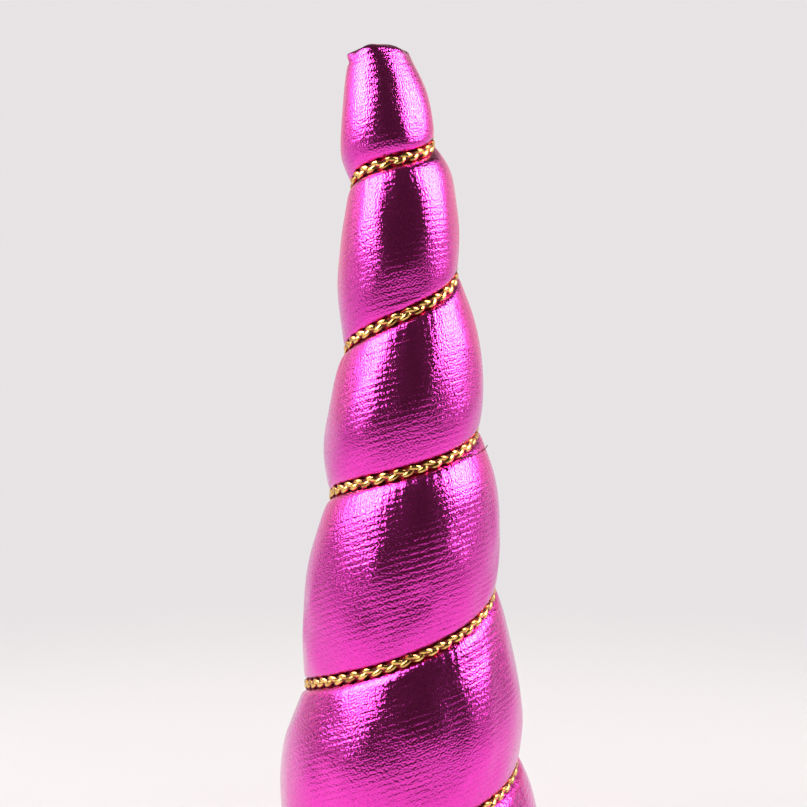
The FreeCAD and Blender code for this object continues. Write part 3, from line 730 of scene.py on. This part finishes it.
class Nodes:
    """Short calls for building a node tree."""

    def __init__(self, name):
        self.material = bpy.data.materials.new(name)
        self.material.use_nodes = True
        self.tree = self.material.node_tree
        self.shader = self.tree.nodes["Principled BSDF"]

    def add(self, kind, settings=None, **inputs):
        node = self.tree.nodes.new(kind)
        for key, value in (settings or {}).items():
            setattr(node, key, value)
        for key, value in inputs.items():
            self.put(node.inputs[key.replace("_", " ")], value)
        return node

    def put(self, socket, value):
        if isinstance(value, bpy.types.NodeSocket):
            self.tree.links.new(value, socket)
        else:
            socket.default_value = value

    def math(self, operation, a, b=0.0, c=0.0):
        node = self.tree.nodes.new("ShaderNodeMath")
        node.operation = operation
        for socket, value in zip(node.inputs, (a, b, c)):
            self.put(socket, value)
        return node.outputs[0]

    def noise(self, vector, scale, detail=2.0, rough=0.5):
        node = self.add("ShaderNodeTexNoise", Vector=vector, Scale=scale, Detail=detail, Roughness=rough)
        return node.outputs["Fac"]

    def mix(self, share, a, b):
        node = self.tree.nodes.new("ShaderNodeMix")
        node.data_type = "RGBA"
        self.put(node.inputs["Factor"], share)
        self.put(node.inputs["A"], a)
        self.put(node.inputs["B"], b)
        return node.outputs["Result"]

    def spread(self, value, low, high, to_low=0.0, to_high=1.0):
        node = self.add("ShaderNodeMapRange", Value=value, From_Min=low, From_Max=high,
                        To_Min=to_low, To_Max=to_high)
        return node.outputs["Result"]

    def uv(self, name):
        node = self.add("ShaderNodeUVMap", {"uv_map": name})
        apart = self.add("ShaderNodeSeparateXYZ", Vector=node.outputs["UV"])
        return apart.outputs["X"], apart.outputs["Y"]

    def place(self):
        return self.add("ShaderNodeTexCoord").outputs["Object"]

    def bump(self, height, distance):
        return self.add("ShaderNodeBump", Height=height, Distance=distance, Strength=1.0).outputs["Normal"]

    def set(self, **inputs):
        for key, value in inputs.items():
            self.put(self.shader.inputs[key.replace("_", " ")], value)


def colour(r, g, b):
    return (r, g, b, 1.0)


def foil_fabric():
    """Magenta foil on a ribbed knit: metallic, with fine rows of stitches under the foil."""
    n = Nodes("foil_fabric")
    along, across = n.uv("cloth")
    place = n.place()
    drift = n.math("SUBTRACT", n.noise(place, 900.0, 1.0), 0.5)
    across = n.math("MULTIPLY_ADD", drift, 0.06, across)
    along = n.math("MULTIPLY_ADD", n.math("SUBTRACT", n.noise(place, 1300.0, 1.0), 0.5), 0.2, along)
    ribs = n.math("COSINE", n.math("MULTIPLY", across, 2 * math.pi / RIB_PITCH))
    rib_swell = n.spread(n.noise(place, 120.0, 1.0), 0.35, 0.65, 0.3, 1.0)
    ribs = n.math("MULTIPLY", ribs, rib_swell)
    cell = n.add("ShaderNodeCombineXYZ", X=n.math("DIVIDE", along, GRAIN_PITCH),
                 Y=n.math("DIVIDE", across, RIB_PITCH / 2.5))
    knit = n.add("ShaderNodeTexVoronoi", {"voronoi_dimensions": "2D", "feature": "SMOOTH_F1"},
                 Vector=cell.outputs["Vector"], Scale=1.0, Smoothness=0.2, Randomness=0.8)
    knit = n.math("SUBTRACT", 1.0, knit.outputs["Distance"])
    fine = n.noise(place, 3600.0, 2.0, 0.6)
    pits = n.noise(place, 5200.0, 1.0, 0.5)
    height = n.math("MULTIPLY", ribs, 0.25)
    height = n.math("MULTIPLY_ADD", knit, 0.85, height)
    height = n.math("MULTIPLY_ADD", fine, 0.5, height)
    relief = n.bump(height, 0.000052)
    n.set(Normal=relief, Coat_Normal=relief, Coat_Weight=0.7, Coat_Roughness=0.20, Coat_IOR=1.5,
          Sheen_Weight=0.25, Sheen_Roughness=0.35, Sheen_Tint=colour(1.0, 0.62, 0.80))
    # darker magenta in random pits and towards the hollows between the knit's grains
    hollow_and_pit_darkening = n.spread(n.math("MULTIPLY_ADD", knit, 0.35, pits), 0.50, 0.78)
    wide = n.spread(n.noise(place, 60.0, 2.0), 0.3, 0.7)
    base = n.mix(wide, colour(0.95, 0.036, 0.60), colour(0.92, 0.032, 0.55))
    n.set(Base_Color=n.mix(hollow_and_pit_darkening, colour(0.70, 0.022, 0.38), base))
    n.set(Metallic=1.0, Roughness=n.spread(fine, 0.3, 0.7, 0.13, 0.20))
    return n.material


def gold_yarn():
    """Metallic yarn: gold on the strands' crowns, with painted shade: dark red-brown on and between their
    flanks, and where ambient occlusion finds them sunk.

    The mesh's "crown" says how far a point stands out from the cord's middle, in millimetres.
    """
    n = Nodes("gold_braid")
    place = n.place()
    fibres = n.noise(place, 6000.0, 2.0, 0.6)
    # painted shade: ambient occlusion darkens the gold where the strands sink between their neighbours
    ao = n.add("ShaderNodeAmbientOcclusion", {"samples": 6}, Distance=0.0006)
    painted_shade_ao = n.spread(ao.outputs["AO"], 0.40, 0.85)
    gold = n.mix(fibres, colour(1.0, 0.70, 0.24), colour(0.88, 0.50, 0.12))
    tarnish = n.spread(n.noise(place, 700.0, 2.0), 0.48, 0.68, 0.0, 0.75)
    gold = n.mix(tarnish, gold, colour(0.34, 0.10, 0.03))
    crown = n.add("ShaderNodeAttribute", {"attribute_name": "crown"}).outputs["Fac"]
    ragged = n.math("MULTIPLY_ADD", n.math("SUBTRACT", n.noise(place, 2500.0, 2.0), 0.5), 0.12, crown)
    # painted shade: gold only where a strand stands proud and open, dark red-brown on its flanks and in the
    # hollows between strands
    shown = n.math("MULTIPLY", painted_shade_ao, n.spread(ragged, 0.07, 0.20))
    n.set(Base_Color=n.mix(shown, colour(0.20, 0.014, 0.012), gold), Metallic=1.0)
    n.set(Roughness=n.spread(fibres, 0.3, 0.7, 0.10, 0.20), Normal=n.bump(fibres, 0.00004))
    return n.material


def shade_core_and_thread_yarn():
    """Dark red-brown cotton: painted shade on the tube inside the cord, and also the colour of the loose
    thread end.
    """
    n = Nodes("shade_core_and_thread_yarn")
    fibres = n.noise(n.place(), 5000.0, 2.0)
    tone = n.mix(fibres, colour(0.10, 0.006, 0.006), colour(0.26, 0.02, 0.015))
    n.set(Base_Color=tone, Roughness=0.8)
    n.set(Normal=n.bump(fibres, 0.00005))
    return n.material


def sewing_thread():
    n = Nodes("sewing_thread")
    place = n.place()
    twist = n.noise(place, 7000.0, 1.0)
    n.set(Base_Color=n.mix(twist, colour(0.50, 0.015, 0.24), colour(0.72, 0.05, 0.40)))
    n.set(Roughness=0.45, Sheen_Weight=0.4, Normal=n.bump(twist, 0.00004))
    return n.material


def wool_felt():
    """Matted fibres: mottled, dull, with a soft sheen."""
    n = Nodes("wool_felt")
    place = n.place()
    matted = n.noise(place, 900.0, 6.0, 0.7)
    fibres = n.noise(place, 4200.0, 3.0, 0.7)
    wide = n.noise(place, 90.0, 2.0)
    tone = n.math("MULTIPLY_ADD", fibres, 0.5, n.math("MULTIPLY", matted, 0.5))
    base = n.mix(n.spread(tone, 0.35, 0.65), colour(0.42, 0.018, 0.17), colour(0.80, 0.085, 0.43))
    n.set(Base_Color=n.mix(n.spread(wide, 0.3, 0.7, 0.0, 0.25), base, colour(0.86, 0.13, 0.50)))
    n.set(Roughness=0.95, Sheen_Weight=0.6, Sheen_Roughness=0.5)
    n.set(Normal=n.bump(n.math("ADD", matted, fibres), 0.00025))
    return n.material


def eyelet_brass():
    n = Nodes("eyelet_brass")
    place = n.place()
    brushed = n.noise(place, 2500.0, 3.0, 0.6)
    wide = n.noise(place, 300.0, 2.0)
    n.set(Base_Color=n.mix(wide, colour(0.87, 0.60, 0.22), colour(0.76, 0.50, 0.17)), Metallic=1.0)
    n.set(Roughness=n.spread(brushed, 0.3, 0.7, 0.16, 0.32), Normal=n.bump(brushed, 0.00001))
    return n.material


def grey_board():
    n = Nodes("grey_board")
    place = n.place()
    pulp = n.noise(place, 1500.0, 4.0, 0.7)
    n.set(Base_Color=n.mix(pulp, colour(0.34, 0.30, 0.25), colour(0.52, 0.47, 0.40)), Roughness=0.9)
    n.set(Normal=n.bump(pulp, 0.0001))
    return n.material


def polyester_fibre():
    n = Nodes("polyester_fibre")
    place = n.place()
    tufts = n.noise(place, 400.0, 6.0, 0.8)
    n.set(Base_Color=n.mix(tufts, colour(0.72, 0.72, 0.70), colour(0.94, 0.94, 0.93)), Roughness=0.9)
    n.set(Sheen_Weight=0.5, Normal=n.bump(tufts, 0.0008))
    return n.material


# ---------------------------------------------------------------- stage, light and camera

def make_stage():
    """A pale table that fades into an even backdrop, so no edge or horizon shows.

    The foil mirrors a dark room instead of the backdrop, pale only low down behind the horn.
    """
    n = Nodes("pale_table")
    n.set(Base_Color=colour(0.80, 0.795, 0.80), Roughness=0.7)
    flat = n.add("ShaderNodeVectorMath", {"operation": "MULTIPLY"}, Vector=n.place())
    flat.inputs[1].default_value = (1, 1, 0)
    away = n.add("ShaderNodeVectorMath", {"operation": "LENGTH"})
    n.tree.links.new(flat.outputs["Vector"], away.inputs[0])
    far = n.add("ShaderNodeMapRange", {"interpolation_type": "SMOOTHSTEP"}, Value=away.outputs["Value"])
    far.inputs["From Min"].default_value = TABLE_FADE_START
    far.inputs["From Max"].default_value = TABLE_FADE_END
    glow = n.add("ShaderNodeEmission", Color=colour(*BACKDROP))
    mix = n.tree.nodes.new("ShaderNodeMixShader")
    n.tree.links.new(far.outputs["Result"], mix.inputs["Fac"])
    n.tree.links.new(n.shader.outputs["BSDF"], mix.inputs[1])
    n.tree.links.new(glow.outputs["Emission"], mix.inputs[2])
    apart = n.add("ShaderNodeSeparateXYZ", Vector=n.place())
    in_front = n.spread(apart.outputs["Y"], -TABLE_EDGE, -TABLE_EDGE - TABLE_EDGE_FADE)
    mirrored = n.tree.nodes.new("ShaderNodeLightPath").outputs["Is Glossy Ray"]
    room = n.add("ShaderNodeEmission", Color=colour(*ROOM_DARK))
    edge = n.tree.nodes.new("ShaderNodeMixShader")
    n.tree.links.new(n.math("MULTIPLY", in_front, mirrored), edge.inputs["Fac"])
    n.tree.links.new(mix.outputs["Shader"], edge.inputs[1])
    n.tree.links.new(room.outputs["Emission"], edge.inputs[2])
    n.tree.links.new(edge.outputs["Shader"], n.tree.nodes["Material Output"].inputs["Surface"])
    size = TABLE_HALF_SIDE
    floor = mesh_object("table", [(-size, -size, 0), (size, -size, 0), (size, size, 0), (-size, size, 0)],
                        [(0, 1, 2, 3)], n.material, smooth=False)
    world = bpy.data.worlds.new("studio")
    bpy.context.scene.world = world
    world.use_nodes = True
    tree = world.node_tree
    tree.nodes.clear()
    shown = tree.nodes.new("ShaderNodeBackground")
    shown.inputs["Color"].default_value = colour(*BACKDROP)
    lit = tree.nodes.new("ShaderNodeBackground")
    direction = tree.nodes.new("ShaderNodeTexCoord")
    apart = tree.nodes.new("ShaderNodeSeparateXYZ")
    tree.links.new(direction.outputs["Generated"], apart.inputs["Vector"])
    behind = tree.nodes.new("ShaderNodeMapRange")
    behind.interpolation_type = "SMOOTHSTEP"
    behind.inputs["From Min"].default_value = PALE_FROM
    behind.inputs["From Max"].default_value = PALE_FULL
    tree.links.new(apart.outputs["Y"], behind.inputs["Value"])
    low = tree.nodes.new("ShaderNodeMapRange")
    low.interpolation_type = "SMOOTHSTEP"
    low.inputs["From Min"].default_value = PALE_TOP
    low.inputs["From Max"].default_value = PALE_FULL_BELOW
    tree.links.new(apart.outputs["Z"], low.inputs["Value"])
    pale = tree.nodes.new("ShaderNodeMath")
    pale.operation = "MULTIPLY"
    tree.links.new(behind.outputs["Result"], pale.inputs[0])
    tree.links.new(low.outputs["Result"], pale.inputs[1])
    ramp = tree.nodes.new("ShaderNodeMix")
    ramp.data_type = "RGBA"
    ramp.inputs["A"].default_value = colour(*ROOM_DARK)
    ramp.inputs["B"].default_value = colour(*ROOM_PALE)
    tree.links.new(pale.outputs[0], ramp.inputs["Factor"])
    tree.links.new(ramp.outputs["Result"], lit.inputs["Color"])
    path = tree.nodes.new("ShaderNodeLightPath")
    mix = tree.nodes.new("ShaderNodeMixShader")
    out = tree.nodes.new("ShaderNodeOutputWorld")
    tree.links.new(path.outputs["Is Camera Ray"], mix.inputs["Fac"])
    tree.links.new(lit.outputs["Background"], mix.inputs[1])
    tree.links.new(shown.outputs["Background"], mix.inputs[2])
    tree.links.new(mix.outputs["Shader"], out.inputs["Surface"])


def softbox(name, azimuth, elevation, distance, width, height, radiance, glossy=True, diffuse=True):
    """A rectangular soft light aimed at the horn, its azimuth counted from -Y towards +X."""
    light = bpy.data.lights.new(name, "AREA")
    light.shape = "RECTANGLE"
    light.size = width
    light.size_y = height
    light.energy = radiance * math.pi * width * height
    obj = bpy.data.objects.new(name, light)
    a, e = math.radians(azimuth), math.radians(elevation)
    way = Vector((math.sin(a) * math.cos(e), -math.cos(a) * math.cos(e), math.sin(e)))
    obj.location = Vector((0, 0, LIGHT_AIM)) + way * distance
    obj.rotation_euler = way.to_track_quat("Z", "Y").to_euler()
    obj.visible_camera = False
    obj.visible_glossy = glossy
    obj.visible_diffuse = diffuse
    bpy.context.scene.collection.objects.link(obj)


def make_camera():
    """At the height and distance from which the horn is seen."""
    camera = bpy.data.cameras.new("camera")
    camera.sensor_width = 36.0
    camera.lens = CAMERA_LENS
    camera.clip_start = 0.01
    obj = bpy.data.objects.new("camera", camera)
    obj.location = CAMERA_PLACE
    obj.rotation_euler = (math.radians(90 - CAMERA_DOWN), 0, 0)
    bpy.context.scene.collection.objects.link(obj)
    bpy.context.scene.camera = obj


make_camera()
make_stage()
softbox("left_softbox", -66, 34, 0.36, 0.15, 0.26, 14.5, diffuse=False)
softbox("left_panel", -84, 32, 0.38, 0.36, 0.34, 1.9)
softbox("right_softbox", 77, 34, 0.36, 0.14, 0.26, 14.5, diffuse=False)
softbox("right_panel", 88, 32, 0.38, 0.32, 0.34, 1.7)
softbox("overhead", 0, 88, 0.9, 1.2, 1.2, 2.1, glossy=False)
bpy.context.scene.view_settings.view_transform = "Standard"

# ---------------------------------------------------------------- pieces

foil = foil_fabric()
gold = gold_yarn()
thread = sewing_thread()
felt = wool_felt()
brass = eyelet_brass()
board = grey_board()
fibre = polyester_fibre()

swelling = fitted_swell()
cover, cover_faces, cover_turn, cover_w = sheet(
    "padded_foil_cover", foil, relief=lambda turn, w: puckers(turn, w) + swelling(turn, w))
add_cloth_coordinates(cover, cover_faces, cover_turn, cover_w)
close_up(cover)
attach(cover, "root")
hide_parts("horn_cover")

cord = braided_cord(gold)
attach(cord, "root")
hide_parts("spiral_cord")
dark_yarn = shade_core_and_thread_yarn()
# the dark tube inside the plait, painted shade between the strands
shade_tube = painted_shade_core(dark_yarn)
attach(shade_tube, "root")

for piece, node in (
        (seam_thread(thread), "seam_stitches"),
        (tack_thread("upper_tack_stitches", CORD_START + 0.03, thread), "tip_tack_stitches"),
        (tack_thread("lower_tack_stitches", CORD_END - 0.03, thread), "foot_tack_stitches"),
        (foot_thread(thread), "base_whip_stitches")):
    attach(piece, "root")
    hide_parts(node)

filling = stuffing_tufts(fibre)
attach(filling, "root")
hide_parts("stuffing")

plate = soft_plate("felt_backing", "felt_base", felt)
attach(plate, "root")
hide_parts("felt_base")

stray = loose_thread(dark_yarn)
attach(stray, "root")

for node, material in (("hem_drawstring", thread), ("base_board", board), ("eyelet_left", brass),
                       ("eyelet_right", brass), ("washer_left", brass), ("washer_right", brass)):
    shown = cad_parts[node]
    shown.data.materials.clear()
    shown.data.materials.append(material)
